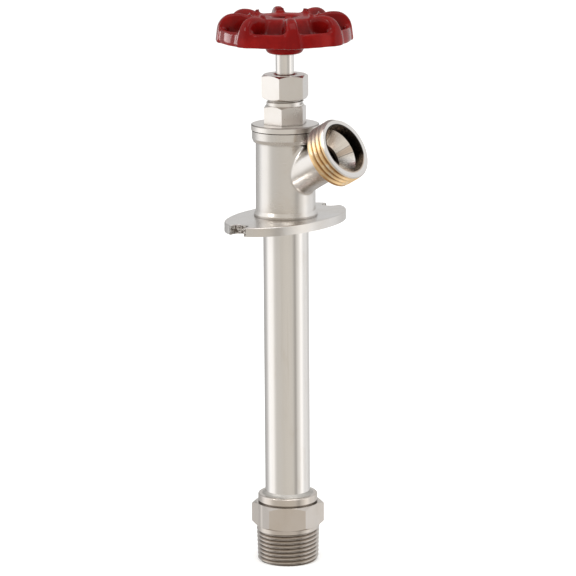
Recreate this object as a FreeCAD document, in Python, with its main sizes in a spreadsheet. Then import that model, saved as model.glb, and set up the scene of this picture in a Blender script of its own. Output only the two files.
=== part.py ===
import FreeCAD, Part
import math
import os
import Sketcher

# Frost-free hose bib (sillcock), in millimetres.
# The tube's axis is Z. The wall face, the back of the oval flange, is the plane Z = 0. The tube and
# the inlet fitting hang below it, the head, the bonnet and the handwheel stand above it, and the spout
# leans out over +X. The valve is closed.

doc = FreeCAD.newDocument("hose_bib")
sheet = doc.addObject("Spreadsheet::Sheet", "Dimensions")

# Radii, levels (heights along Z, zero at the wall face), lengths and angles that drive every piece.
SIZES = {
    # wall flange: an oval plate, long across the spout's direction
    "flange_top": 3.8,
    "flange_half_length": 33.0,
    "flange_half_width": 19.5,
    "flange_edge_round": 0.6,
    "notch_width": 7.0,
    "notch_centre": 31.0,
    # head casting: barrel and collar
    "spigot_radius": 11.0,
    "spigot_bottom": 0.6,
    "lip_radius": 13.2,
    "lip_top": 4.9,
    "barrel_low_radius": 12.55,
    "barrel_low_level": 6.4,
    "barrel_radius": 12.35,
    "collar_bottom": 35.1,
    "collar_low_radius": 13.3,
    "collar_shoulder": 36.6,
    "collar_radius": 13.9,
    "head_top": 39.7,
    "collar_round": 0.8,
    "chamber_radius": 8.0,
    "socket_top": 12.0,
    "bonnet_seat": 28.5,
    # spout: its own axis starts on the tube's axis and climbs towards +X
    "spout_level": 17.1,
    "spout_angle": 30.0,
    "spout_radius": 8.6,
    "spout_neck_end": 25.4,
    "hose_thread_back": 26.9,
    "spout_length": 35.8,
    "hose_thread_radius": 13.5,
    "hose_thread_pitch": 2.209,
    "hose_thread_depth": 1.15,
    "hose_thread_chamfer": 0.5,
    "rim_chamfer_radius": 12.95,
    "spout_hole_radius": 6.0,
    "funnel_start": 24.6,
    "funnel_end": 31.1,
    "mouth_radius": 10.5,
    "spout_blend": 2.0,
    # tube
    "tube_radius": 9.525,
    "tube_inner_radius": 8.4,
    "tube_bottom": -124.0,
    # solder fillets at the tube's two ends
    "solder_width": 1.4,
    "solder_height": 1.3,
    # inlet fitting: collar, hexagon, taper pipe thread, valve seat
    "inlet_end": -145.7,
    "inlet_thread_end_radius": 12.95,
    "inlet_thread_top_radius": 13.44,
    "inlet_thread_pitch": 1.814,
    "inlet_thread_depth": 1.2,
    "inlet_thread_taper": 1.79,
    "inlet_end_chamfer": 1.0,
    "inlet_thread_top": -130.0,
    "inlet_hexagon_top": -120.0,
    "inlet_hexagon_corner": 15.4,
    "inlet_hexagon_turn": 37.0,
    "inlet_hexagon_shoulder": 13.4,
    "inlet_collar_groove_radius": 11.9,
    "inlet_collar_groove_top": -119.2,
    "inlet_collar_radius": 12.6,
    "inlet_collar_top": -116.3,
    "inlet_collar_round": 0.6,
    "seat_floor": -127.0,
    "seat_lip_radius": 6.2,
    "seat_lip_top": -126.0,
    "seat_hole_radius": 5.0,
    "sweat_bore_radius": 7.98,
    "sweat_bore_top": -133.0,
    # bonnet
    "bonnet_bottom": 30.0,
    "bonnet_spigot_radius": 10.5,
    "bonnet_disc_bottom": 40.1,
    "bonnet_disc_top": 42.5,
    "bonnet_disc_radius": 14.2,
    "bonnet_disc_round": 0.5,
    "bonnet_hexagon_corner": 9.35,
    "bonnet_hexagon_turn": -1.0,
    "bonnet_hexagon_top": 50.3,
    "bonnet_hexagon_shoulder": 7.9,
    "neck_radius": 7.75,
    "neck_top": 58.0,
    "neck_thread_pitch": 1.27,
    "neck_thread_depth": 0.6,
    "stem_thread_bore": 5.25,
    "stem_thread_bore_top": 42.0,
    "stem_relief_radius": 5.6,
    "packing_floor": 50.5,
    "packing_bore": 6.1,
    # gland
    "gasket_radius": 13.3,
    "packing_washer_top": 51.3,
    "packing_middle": 53.8,
    "packing_gap": 0.05,
    "packing_top": 56.3,
    "follower_top": 60.6,
    "gland_hole": 3.86,
    # packing nut
    "nut_bottom": 53.1,
    "nut_top": 63.1,
    "nut_corner": 10.15,
    "nut_turn": -5.5,
    "nut_shoulder": 8.75,
    "nut_hole": 4.6,
    "nut_hole_chamfer": 0.8,
    # operating stem
    "stem_bottom": 12.0,
    "stem_sleeve_radius": 4.8,
    "stem_thread_bottom": 23.5,
    "stem_thread_top": 41.5,
    "stem_thread_radius": 5.2,
    "stem_radius": 3.8,
    "stem_square": 5.4,
    "hub_level": 71.6,
    "stem_top": 81.5,
    "rod_socket_top": 21.0,
    # extension rod and its cross pin
    "rod_radius": 3.175,
    "rod_bottom": -116.0,
    "clip_groove_bottom": -113.2,
    "clip_groove_top": -111.6,
    "clip_groove_radius": 2.4,
    "pin_level": 16.5,
    "pin_radius": 1.0,
    "pin_length": 9.2,
    # rod guide
    "guide_bottom": -64.0,
    "guide_top": -54.0,
    "guide_hub_radius": 4.8,
    "guide_fin_radius": 8.05,
    "guide_fin_width": 2.0,
    "guide_fins": 3,
    # swivelling valve disc
    "holder_top": -110.2,
    "holder_sleeve_radius": 5.2,
    "holder_bore": 3.23,
    "holder_bore_bottom": -116.3,
    "holder_cup_radius": 7.4,
    "holder_cup_top": -118.6,
    "holder_cup_floor": -121.9,
    "holder_cup_bottom": -124.4,
    "clip_radius": 4.5,
    "clip_bore": 2.72,
    "clip_bottom": -112.8,
    "clip_top": -112.0,
    "clip_slot_width": 5.0,
    "washer_radius": 6.7,
    "washer_bottom": -125.9,
    "screw_radius": 1.7,
    "screw_top": -117.6,
    "screw_head_radius": 3.2,
    "screw_head_bottom": -127.7,
    "screw_slot": 0.8,
    "screw_slot_depth": 0.9,
    # handwheel; its own origin is on the axis at the level of its lowest rim
    "wheel_level": 76.8,
    "wheel_ribs": 8,
    "wheel_band_radius": 27.1,
    "wheel_band_inner": 25.0,
    "wheel_band_top": 6.2,
    "wheel_band_foot": 27.8,
    "wheel_band_under": 25.6,
    "wheel_disc_radius": 13.6,
    "wheel_disc_top": 10.5,
    "wheel_disc_under": 8.0,
    "wheel_web_radius": 17.6,
    "wheel_web_top": 4.2,
    "wheel_web_edge_top": 3.2,
    "wheel_web_under": 1.9,
    "wheel_web_edge_under": 1.2,
    "wheel_under_radius": 13.0,
    "wheel_hub_radius": 8.1,
    "wheel_hub_bottom": -5.2,
    "wheel_hub_round": 2.2,
    "rib_start": 12.5,
    "rib_stock_end": 31.0,
    "rib_width": 7.2,
    "rib_taper": 7.8,
    "rib_stock_top": 13.0,
    "rib_inner": 14.5,
    "rib_crest_at": 21.1,
    "rib_crest": 12.1,
    "rib_inner_arc": 11.0,
    "rib_outer": 28.1,
    "rib_shoulder": 5.3,
    "rib_outer_arc": 7.0,
    "rib_foot": 28.7,
    "wheel_recess_radius": 5.2,
    "wheel_recess_floor": 5.7,
    # handle screw and washer
    "handle_washer_radius": 4.4,
    "handle_washer_top": 83.1,
    "handle_washer_bottom": 82.5,
    "handle_screw_head_radius": 3.6,
    "handle_screw_top": 85.6,
    "handle_screw_radius": 1.6,
    "handle_screw_bottom": 73.0,
}

for row, (alias, number) in enumerate(SIZES.items(), start=1):
    sheet.set("A%d" % row, alias)
    sheet.set("B%d" % row, str(number))
    sheet.setAlias("B%d" % row, alias)
doc.recompute()

Z_AXIS = FreeCAD.Vector(0, 0, 1)


def size(name):
    """The number in the sheet's cell of that name."""
    return float(sheet.get(name))


def amount(text):
    """A sum of cells and numbers, such as "tube_radius + solder_width", as a number."""
    total = 0.0
    sign = 1
    for word in text.split():
        if word in "+-":
            sign = 1 if word == "+" else -1
        else:
            total += sign * (size(word) if word in SIZES else float(word))
    return total


def formula(text):
    """The same sum as an expression that reads the sheet."""
    words = ["Dimensions." + word if word in SIZES else word for word in text.split()]
    return " ".join(words)


def bind(thing, prop, text):
    thing.setExpression(prop, formula(text))


# Sketches and features.


def new_body(label):
    body = doc.addObject("PartDesign::Body", label)
    body.Label = label
    return body


def origin_plane(body, role):
    return [feature for feature in body.Origin.OriginFeatures if feature.Role == role][0]


def new_sketch(body, role, name):
    sketch = body.newObject("Sketcher::SketchObject", name)
    sketch.AttachmentSupport = (origin_plane(body, role), [""])
    sketch.MapMode = "FlatFace"
    return sketch


def pin_point(sketch, geometry, point, across, up):
    """Dimension one point of the sketch from its origin, by two sums of cells."""
    directions = (("DistanceX", across, -2), ("DistanceY", up, -1))
    for kind, text, axis in directions:
        if amount(text) == 0.0:
            sketch.addConstraint(Sketcher.Constraint("PointOnObject", geometry, point, axis))
        else:
            rule = Sketcher.Constraint(kind, -1, 1, geometry, point, amount(text))
            index = sketch.addConstraint(rule)
            bind(sketch, "Constraints[%d]" % index, text)


def draw_outline(sketch, corners):
    """A closed outline through corners, each a pair of sums of cells. A third entry, a cell's name,
    makes the stretch to the next corner an arc of that radius, turning left, or right after a minus."""
    spots = [FreeCAD.Vector(amount(corner[0]), amount(corner[1]), 0) for corner in corners]
    count = len(spots)
    first = sketch.GeometryCount
    ends = []
    for index, corner in enumerate(corners):
        start, stop = spots[index], spots[(index + 1) % count]
        if len(corner) == 2:
            sketch.addGeometry(Part.LineSegment(start, stop))
            ends.append((1, 2))
        else:
            ends.append(draw_arc(sketch, start, stop, corner[2]))
    for index in range(count):
        following = (index + 1) % count
        joint = Sketcher.Constraint("Coincident", first + index, ends[index][1],
                                    first + following, ends[following][0])
        sketch.addConstraint(joint)
    for index, corner in enumerate(corners):
        pin_point(sketch, first + index, ends[index][0], corner[0], corner[1])


def draw_arc(sketch, start, stop, radius_text):
    """An arc of a bound radius. Returns which of its ends is the start and which the stop."""
    left = not radius_text.startswith("-")
    cell = radius_text.lstrip("-")
    chord = stop - start
    aside = FreeCAD.Vector(-chord.y, chord.x, 0).normalize()
    height = math.sqrt(size(cell) ** 2 - (chord.Length / 2) ** 2)
    centre = (start + stop) / 2 + aside * (height if left else -height)
    angles = [math.atan2(spot.y - centre.y, spot.x - centre.x) for spot in (start, stop)]
    if not left:
        angles.reverse()
    circle = Part.Circle(centre, Z_AXIS, size(cell))
    arc = sketch.addGeometry(Part.ArcOfCircle(circle, angles[0], angles[1]))
    index = sketch.addConstraint(Sketcher.Constraint("Radius", arc, size(cell)))
    bind(sketch, "Constraints[%d]" % index, cell)
    return (1, 2) if left else (2, 1)


def draw_circle(sketch, across, up, radius):
    centre = FreeCAD.Vector(amount(across), amount(up), 0)
    circle = sketch.addGeometry(Part.Circle(centre, Z_AXIS, amount(radius)))
    pin_point(sketch, circle, 3, across, up)
    index = sketch.addConstraint(Sketcher.Constraint("Radius", circle, amount(radius)))
    bind(sketch, "Constraints[%d]" % index, radius)


def turn(body, kind, name, corners):
    """A Revolution or a Groove of a half-section, whose corners are (radius, level), about Z."""
    sketch = new_sketch(body, "XZ_Plane", name + "_section")
    draw_outline(sketch, corners)
    feature = body.newObject("PartDesign::" + kind, name)
    feature.Profile = (sketch, [""])
    feature.ReferenceAxis = (sketch, ["V_Axis"])
    feature.Angle = 360
    doc.recompute()
    return feature


def ring(body, name, inner, outer, bottom, top):
    corners = [(inner, bottom), (outer, bottom), (outer, top), (inner, top)]
    return turn(body, "Revolution", name, corners)


def bore(body, name, radius, bottom, top):
    corners = [("0", bottom), (radius, bottom), (radius, top), ("0", top)]
    return turn(body, "Groove", name, corners)


def hexagon(body, name, corner, bottom, top, turned):
    """A hexagonal prism on the Z axis. Its first corner is turned from +X by the angle given."""
    prism = body.newObject("PartDesign::AdditivePrism", name)
    prism.AttachmentSupport = (origin_plane(body, "XY_Plane"), [""])
    prism.MapMode = "FlatFace"
    prism.Polygon = 6
    bind(prism, "Circumradius", corner)
    bind(prism, "Height", top + " - " + bottom)
    spin = FreeCAD.Rotation(Z_AXIS, amount(turned))
    prism.AttachmentOffset = FreeCAD.Placement(FreeCAD.Vector(0, 0, amount(bottom)), spin)
    bind(prism, "AttachmentOffset.Base.z", bottom)
    bind(prism, "AttachmentOffset.Rotation.Angle", turned)
    doc.recompute()
    return prism


def chamfer_hexagon(body, name, shoulder, corner, level, inward):
    """Turn a hexagon's corners off at 30 degrees, which leaves the arcs of a wrench hexagon."""
    outer = corner + " + 1"
    drop = (amount(outer) - amount(shoulder)) * math.tan(math.radians(30))
    sign = " - " if inward < 0 else " + "
    corners = [
        (shoulder, level),
        (outer, level),
        (outer, level + sign + "%.4f" % drop),
    ]
    return turn(body, "Groove", name, corners)


def circular_edges(feature, radius, level):
    """Names of a feature's circular edges of that radius whose centre is at that level on Z."""
    names = []
    for index, edge in enumerate(feature.Shape.Edges, start=1):
        if not isinstance(edge.Curve, Part.Circle):
            continue
        centre = edge.Curve.Center
        level_fits = abs(centre.z - amount(level)) < 0.01
        if level_fits and abs(edge.Curve.Radius - amount(radius)) < 0.01:
            names.append("Edge%d" % index)
    return names


def soften(body, kind, name, edges, width):
    """A Fillet or a Chamfer of the body's newest feature, on the edges named."""
    base = body.Tip
    feature = body.newObject("PartDesign::" + kind, name)
    feature.Base = (base, edges)
    bind(feature, "Radius" if kind == "Fillet" else "Size", width)
    doc.recompute()
    return feature


def soften_circle(body, kind, name, radius, level, width):
    return soften(body, kind, name, circular_edges(body.Tip, radius, level), width)


def pad(body, name, role, corners, length, symmetric=False):
    sketch = new_sketch(body, role, name + "_outline")
    draw_outline(sketch, corners)
    feature = body.newObject("PartDesign::Pad", name)
    feature.Profile = (sketch, [""])
    if symmetric:
        feature.SideType = "Symmetric"
    bind(feature, "Length", length)
    doc.recompute()
    return feature


def pocket_through(body, name, sketch):
    """Pocket a sketch through everything, to both sides of its plane."""
    volume_before = body.Shape.Volume
    pocket = body.newObject("PartDesign::Pocket", name)
    pocket.Profile = (sketch, [""])
    pocket.SideType = "Symmetric"
    pocket.Length = 200
    doc.recompute()
    require_smaller(body, name, volume_before)
    return pocket


def require_smaller(body, name, volume_before):
    if body.Shape.Volume >= volume_before - 0.01:
        raise RuntimeError(name + " removed nothing")


def thread(body, name, plane_offset, crest, depth, pitch, start, length, taper=None):
    """Cut a right-hand 60 degree thread. Start and crest are measured along and off the axis."""
    sketch = new_sketch(body, "XZ_Plane", name + "_tooth")
    if plane_offset:
        plane_offset(sketch)
    half_gap = 0.5 * (amount(pitch) - 0.25)
    overshoot = 0.3
    reach = half_gap * (1 + overshoot / amount(depth))
    outer = "%s + %.3f" % (crest, overshoot)
    inner = "%s - %s" % (crest, depth)
    floor = 0.12
    corners = [
        (outer, "%s - %.4f" % (start, reach)),
        (inner, "%s - %.4f" % (start, floor)),
        (inner, "%s + %.4f" % (start, floor)),
        (outer, "%s + %.4f" % (start, reach)),
    ]
    draw_outline(sketch, corners)
    volume_before = body.Shape.Volume
    helix = body.newObject("PartDesign::SubtractiveHelix", name)
    helix.Profile = (sketch, [""])
    helix.ReferenceAxis = (sketch, ["V_Axis"])
    helix.Mode = "pitch-height-angle"
    bind(helix, "Pitch", pitch)
    bind(helix, "Height", length)
    if taper:
        bind(helix, "Angle", taper)
    doc.recompute()
    require_smaller(body, name, volume_before)
    return helix


# Head: flange, casting, bonnet and gland.


def make_wall_flange():
    """Oval plate on the casting's spigot, with an open screw notch at each tip."""
    oval = doc.addObject("Part::Ellipse", "flange_oval")
    bind(oval, "MajorRadius", "flange_half_length")
    bind(oval, "MinorRadius", "flange_half_width")
    oval.Placement = FreeCAD.Placement(FreeCAD.Vector(), FreeCAD.Rotation(Z_AXIS, 90))
    plate = doc.addObject("Part::Extrusion", "flange_plate")
    plate.Base = oval
    plate.DirMode = "Custom"
    plate.Dir = Z_AXIS
    plate.Solid = True
    bind(plate, "LengthFwd", "flange_top")
    cutters = [flange_hole()]
    for side in (1, -1):
        cutters.extend(flange_notch(side))
    tools = doc.addObject("Part::MultiFuse", "flange_cutters")
    tools.Shapes = cutters
    cut = doc.addObject("Part::Cut", "flange_cut")
    cut.Base = plate
    cut.Tool = tools
    doc.recompute()
    rounded = doc.addObject("Part::Fillet", "wall_flange")
    rounded.Label = "wall_flange"
    rounded.Base = cut
    width = size("flange_edge_round")
    rounded.Edges = [(index, width, width) for index in flange_rim_edges(cut.Shape)]
    doc.recompute()
    return rounded


def flange_hole():
    hole = doc.addObject("Part::Cylinder", "flange_hole")
    bind(hole, "Radius", "spigot_radius")
    bind(hole, "Height", "flange_top + 2")
    hole.Placement.Base = FreeCAD.Vector(0, 0, -1)
    return hole


def flange_notch(side):
    """The notch's round end and the straight way out of it, on one side."""
    name = "near" if side < 0 else "far"
    end = doc.addObject("Part::Cylinder", "notch_end_" + name)
    end.setExpression("Radius", "Dimensions.notch_width / 2")
    bind(end, "Height", "flange_top + 2")
    end.Placement.Base = FreeCAD.Vector(0, side * size("notch_centre"), -1)
    end.setExpression("Placement.Base.y", "%d * Dimensions.notch_centre" % side)
    way = doc.addObject("Part::Box", "notch_way_" + name)
    bind(way, "Length", "notch_width")
    bind(way, "Width", "flange_half_length - notch_centre + 4")
    bind(way, "Height", "flange_top + 2")
    spin = FreeCAD.Rotation(Z_AXIS, 0 if side > 0 else 180)
    way.Placement = FreeCAD.Placement(FreeCAD.Vector(0, 0, -1), spin)
    way.setExpression("Placement.Base.x", "%d * Dimensions.notch_width / 2" % -side)
    way.setExpression("Placement.Base.y", "%d * Dimensions.notch_centre" % side)
    return [end, way]


def flange_rim_edges(shape):
    """Indices of the plate's upper outline edges, the screw notches included."""
    found = []
    for index, edge in enumerate(shape.Edges, start=1):
        box = edge.BoundBox
        on_top = box.ZLength < 0.001 and abs(box.ZMin - size("flange_top")) < 0.001
        central = isinstance(edge.Curve, Part.Circle) and edge.Curve.Center.Length < 5
        if on_top and not central:
            found.append(index)
    return found


def make_head_casting():
    """Barrel with a collar at its top and a slanted spout that ends in a male hose thread. Its spigot
    stops just short of the wall, so that only the flange bears on it."""
    body = new_body("head_casting")
    turn(body, "Revolution", "barrel", [
        ("0", "spigot_bottom"),
        ("spigot_radius", "spigot_bottom"),
        ("spigot_radius", "flange_top"),
        ("lip_radius", "flange_top"),
        ("lip_radius", "lip_top"),
        ("barrel_low_radius", "barrel_low_level"),
        ("barrel_radius", "collar_bottom"),
        ("collar_low_radius", "collar_bottom"),
        ("collar_radius", "collar_shoulder"),
        ("collar_radius", "head_top"),
        ("0", "head_top"),
    ])
    turn_spout(body, "Revolution", "spout", [
        ("0", "0"),
        ("spout_radius", "0"),
        ("spout_radius", "spout_neck_end"),
        ("hose_thread_radius - hose_thread_depth", "hose_thread_back"),
        ("hose_thread_radius", "hose_thread_back + 0.7"),
        ("hose_thread_radius", "spout_length - hose_thread_chamfer"),
        ("rim_chamfer_radius", "spout_length"),
        ("0", "spout_length"),
    ])
    soften(body, "Fillet", "spout_root", junction_edges(body.Tip), "spout_blend")
    soften_circle(body, "Fillet", "collar_low_edge", "collar_radius", "collar_shoulder",
                  "collar_round")
    soften_circle(body, "Fillet", "lip_edge", "lip_radius", "lip_top", "collar_round")
    bore(body, "tube_socket", "tube_radius", "0 - 1", "socket_top")
    bore(body, "chamber", "chamber_radius", "socket_top - 1", "bonnet_seat + 1")
    bore(body, "bonnet_socket", "bonnet_spigot_radius", "bonnet_seat", "head_top + 1")
    turn_spout(body, "Groove", "waterway", [
        ("0", "0"),
        ("spout_hole_radius", "0"),
        ("spout_hole_radius", "funnel_start"),
        ("mouth_radius", "funnel_end"),
        ("mouth_radius", "spout_length + 1"),
        ("0", "spout_length + 1"),
    ])
    thread(body, "hose_thread", lean_on_spout, "hose_thread_radius", "hose_thread_depth",
           "hose_thread_pitch", "hose_thread_back + 0.9", "spout_length - hose_thread_back + 1")
    return body


def lean_on_spout(sketch):
    """Turn a sketch in its XZ plane so that its vertical axis is the spout's axis."""
    tilt = FreeCAD.Rotation(Z_AXIS, size("spout_angle") - 90)
    sketch.AttachmentOffset = FreeCAD.Placement(FreeCAD.Vector(0, size("spout_level"), 0), tilt)
    bind(sketch, "AttachmentOffset.Base.y", "spout_level")
    bind(sketch, "AttachmentOffset.Rotation.Angle", "spout_angle - 90")


def turn_spout(body, kind, name, corners):
    sketch = new_sketch(body, "XZ_Plane", name + "_section")
    lean_on_spout(sketch)
    draw_outline(sketch, corners)
    feature = body.newObject("PartDesign::" + kind, name)
    feature.Profile = (sketch, [""])
    feature.ReferenceAxis = (sketch, ["V_Axis"])
    feature.Angle = 360
    doc.recompute()
    return feature


def junction_edges(feature):
    """The edges where the spout meets the barrel: neither straight nor circular."""
    names = []
    for index, edge in enumerate(feature.Shape.Edges, start=1):
        if isinstance(edge.Curve, (Part.Line, Part.Circle)):
            continue
        names.append("Edge%d" % index)
    return names


def make_bonnet():
    """Disc, hexagon and threaded neck over a spigot that screws into the head."""
    body = new_body("bonnet")
    ring(body, "spigot", "0", "bonnet_spigot_radius", "bonnet_bottom", "bonnet_disc_bottom")
    ring(body, "disc", "0", "bonnet_disc_radius", "bonnet_disc_bottom", "bonnet_disc_top")
    soften_circle(body, "Fillet", "disc_edge", "bonnet_disc_radius", "bonnet_disc_top",
                  "bonnet_disc_round")
    hexagon(body, "flats", "bonnet_hexagon_corner", "bonnet_disc_top", "bonnet_hexagon_top",
            "bonnet_hexagon_turn")
    chamfer_hexagon(body, "flats_chamfer", "bonnet_hexagon_shoulder", "bonnet_hexagon_corner",
                    "bonnet_hexagon_top", -1)
    ring(body, "neck", "0", "neck_radius", "bonnet_hexagon_top", "neck_top")
    bore(body, "stem_thread_hole", "stem_thread_bore", "bonnet_bottom - 1", "neck_top + 1")
    bore(body, "stem_relief", "stem_relief_radius", "stem_thread_bore_top", "neck_top + 1")
    bore(body, "packing_chamber", "packing_bore", "packing_floor", "neck_top + 1")
    thread(body, "neck_thread", None, "neck_radius", "neck_thread_depth", "neck_thread_pitch",
           "bonnet_hexagon_top + 1", "neck_top - bonnet_hexagon_top")
    return body


def make_packing_nut():
    body = new_body("packing_nut")
    hexagon(body, "flats", "nut_corner", "nut_bottom", "nut_top", "nut_turn")
    chamfer_hexagon(body, "top_chamfer", "nut_shoulder", "nut_corner", "nut_top", -1)
    chamfer_hexagon(body, "low_chamfer", "nut_shoulder", "nut_corner", "nut_bottom", 1)
    bore(body, "neck_hole", "neck_radius", "nut_bottom - 1", "follower_top")
    bore(body, "stem_hole", "nut_hole", "nut_bottom", "nut_top + 1")
    soften_circle(body, "Chamfer", "stem_hole_edge", "nut_hole", "nut_top", "nut_hole_chamfer")
    return body


def make_simple_rings():
    """Rings that are a plain rectangle turned about the axis."""
    made = []
    plain = (
        ("tube", "tube_inner_radius", "tube_radius", "tube_bottom", "socket_top"),
        ("bonnet_gasket", "bonnet_spigot_radius", "gasket_radius", "head_top",
         "bonnet_disc_bottom"),
        ("packing_washer", "gland_hole", "packing_bore", "packing_floor",
         "packing_washer_top"),
        ("packing_follower", "gland_hole", "packing_bore", "packing_top", "follower_top"),
    )
    for label, inner, outer, bottom, top in plain:
        body = new_body(label)
        ring(body, "ring", inner, outer, bottom, top)
        made.append(body)
    return made


def make_stem_packing():
    """Two soft rings, one on the other, between the washer and the follower."""
    lower = packing_ring("lower_packing_ring", "packing_washer_top", "packing_middle - packing_gap")
    upper = packing_ring("upper_packing_ring", "packing_middle", "packing_top")
    pair = doc.addObject("Part::Compound", "stem_packing")
    pair.Label = "stem_packing"
    pair.Links = [lower, upper]
    doc.recompute()
    return pair


def packing_ring(name, bottom, top):
    outer = doc.addObject("Part::Cylinder", name + "_outside")
    bind(outer, "Radius", "packing_bore")
    hole = doc.addObject("Part::Cylinder", name + "_hole")
    bind(hole, "Radius", "gland_hole")
    for piece in (outer, hole):
        bind(piece, "Height", top + " - " + bottom.replace(" - ", " + "))
        bind(piece, "Placement.Base.z", bottom)
    cut = doc.addObject("Part::Cut", name)
    cut.Base = outer
    cut.Tool = hole
    return cut


# Inlet.


def make_inlet_fitting():
    """Collar, wrench hexagon and taper pipe thread. The valve seat is turned inside."""
    body = new_body("inlet_fitting")
    turn(body, "Revolution", "turned_blank", [
        ("0", "inlet_end"),
        ("inlet_thread_end_radius - inlet_end_chamfer", "inlet_end"),
        ("inlet_thread_end_radius", "inlet_end + inlet_end_chamfer"),
        ("inlet_thread_top_radius", "inlet_thread_top"),
        ("inlet_thread_top_radius", "inlet_hexagon_top"),
        ("inlet_collar_groove_radius", "inlet_hexagon_top"),
        ("inlet_collar_groove_radius", "inlet_collar_groove_top"),
        ("inlet_collar_radius", "inlet_collar_groove_top"),
        ("inlet_collar_radius", "inlet_collar_top"),
        ("0", "inlet_collar_top"),
    ])
    soften_circle(body, "Fillet", "collar_top_edge", "inlet_collar_radius", "inlet_collar_top",
                  "inlet_collar_round")
    hexagon(body, "flats", "inlet_hexagon_corner", "inlet_thread_top", "inlet_hexagon_top",
            "inlet_hexagon_turn")
    chamfer_hexagon(body, "top_chamfer", "inlet_hexagon_shoulder", "inlet_hexagon_corner",
                    "inlet_hexagon_top", -1)
    chamfer_hexagon(body, "low_chamfer", "inlet_hexagon_shoulder", "inlet_hexagon_corner",
                    "inlet_thread_top", 1)
    bore(body, "tube_socket", "tube_radius", "tube_bottom", "inlet_collar_top + 1")
    turn(body, "Groove", "seat_chamber", [
        ("0", "seat_lip_top"),
        ("seat_lip_radius", "seat_lip_top"),
        ("seat_lip_radius", "seat_floor"),
        ("tube_inner_radius", "seat_floor"),
        ("tube_inner_radius", "tube_bottom + 1"),
        ("0", "tube_bottom + 1"),
    ])
    bore(body, "seat_hole", "seat_hole_radius", "inlet_end - 1", "seat_lip_top + 1")
    bore(body, "sweat_bore", "sweat_bore_radius", "inlet_end - 1", "sweat_bore_top")
    thread(body, "pipe_thread", None, "inlet_thread_end_radius", "inlet_thread_depth",
           "inlet_thread_pitch", "inlet_end - 1", "inlet_thread_top - inlet_end",
           "inlet_thread_taper")
    return body


def make_solder_ring(label, level, direction):
    """A concave fillet of solder between the tube and a flat face at that level."""
    body = new_body(label)
    sign = " + " if direction > 0 else " - "
    tall = level + sign + "solder_height"
    middle = level + sign + "%.3f" % (0.38 * size("solder_height"))
    turn(body, "Revolution", "solder", [
        ("tube_radius", level),
        ("tube_radius + solder_width", level),
        ("tube_radius + %.3f" % (0.42 * size("solder_width")), middle),
        ("tube_radius", tall),
    ])
    return body


# Stem, rod and valve disc.


def make_operating_stem():
    body = new_body("operating_stem")
    ring(body, "sleeve", "0", "stem_sleeve_radius", "stem_bottom", "stem_thread_bottom")
    ring(body, "threaded_length", "0", "stem_thread_radius", "stem_thread_bottom",
         "stem_thread_top")
    ring(body, "shank", "0", "stem_radius", "stem_thread_top", "hub_level")
    ring(body, "drive", "0", "stem_radius - 0.05", "hub_level", "stem_top")
    trim_square(body)
    bore(body, "rod_socket", "rod_radius", "stem_bottom - 1", "rod_socket_top")
    bore(body, "screw_hole", "handle_screw_radius", "handle_screw_bottom", "stem_top + 1")
    cross_hole(body)
    return body


def trim_square(body):
    """Mill four flats on the drive above the hub's level."""
    near = "%.3f" % (size("stem_square") / 2)
    for index, role in enumerate(("XZ_Plane", "YZ_Plane")):
        for side in (1, -1):
            sketch = new_sketch(body, role, "flat_%d_%s" % (index, "plus" if side > 0 else "minus"))
            if side > 0:
                across = (near, near + " + 3")
            else:
                across = ("0 - " + near, "0 - " + near + " - 3")
            draw_outline(sketch, [
                (across[0], "hub_level"),
                (across[1], "hub_level"),
                (across[1], "stem_top + 1"),
                (across[0], "stem_top + 1"),
            ])
            pocket_through(body, "milled_flat_%d%s" % (index, "a" if side > 0 else "b"), sketch)


def cross_hole(body):
    """Drill the hole for the cross pin, along Y."""
    sketch = new_sketch(body, "XZ_Plane", "pin_hole_outline")
    draw_circle(sketch, "0", "pin_level", "pin_radius")
    return pocket_through(body, "pin_hole", sketch)


def make_extension_rod():
    body = new_body("extension_rod")
    turn(body, "Revolution", "rod", [
        ("0", "rod_bottom"),
        ("rod_radius", "rod_bottom"),
        ("rod_radius", "clip_groove_bottom"),
        ("clip_groove_radius", "clip_groove_bottom"),
        ("clip_groove_radius", "clip_groove_top"),
        ("rod_radius", "clip_groove_top"),
        ("rod_radius", "rod_socket_top"),
        ("0", "rod_socket_top"),
    ])
    cross_hole(body)
    return body


def make_rod_pin():
    pin = doc.addObject("Part::Cylinder", "rod_pin")
    pin.Label = "rod_pin"
    bind(pin, "Radius", "pin_radius")
    bind(pin, "Height", "pin_length")
    pin.Placement = FreeCAD.Placement(FreeCAD.Vector(0, size("pin_length") / 2, size("pin_level")),
                                      FreeCAD.Rotation(FreeCAD.Vector(1, 0, 0), 90))
    pin.setExpression("Placement.Base.y", "Dimensions.pin_length / 2")
    bind(pin, "Placement.Base.z", "pin_level")
    doc.recompute()
    return pin


def make_rod_guide():
    """A hub on the rod with fins that keep it central in the tube and let water past."""
    body = new_body("rod_guide")
    ring(body, "hub", "rod_radius", "guide_hub_radius", "guide_bottom", "guide_top")
    fin = pad(body, "fin", "XZ_Plane", [
        ("guide_hub_radius - 0.6", "guide_bottom"),
        ("guide_fin_radius", "guide_bottom + 1.5"),
        ("guide_fin_radius", "guide_top - 1.5"),
        ("guide_hub_radius - 0.6", "guide_top"),
    ], "guide_fin_width", symmetric=True)
    pattern = body.newObject("PartDesign::PolarPattern", "fins")
    pattern.Originals = [fin]
    pattern.Axis = (body.Origin.OriginFeatures[2], [""])
    bind(pattern, "Occurrences", "guide_fins")
    body.Tip = pattern
    doc.recompute()
    return body


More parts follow.
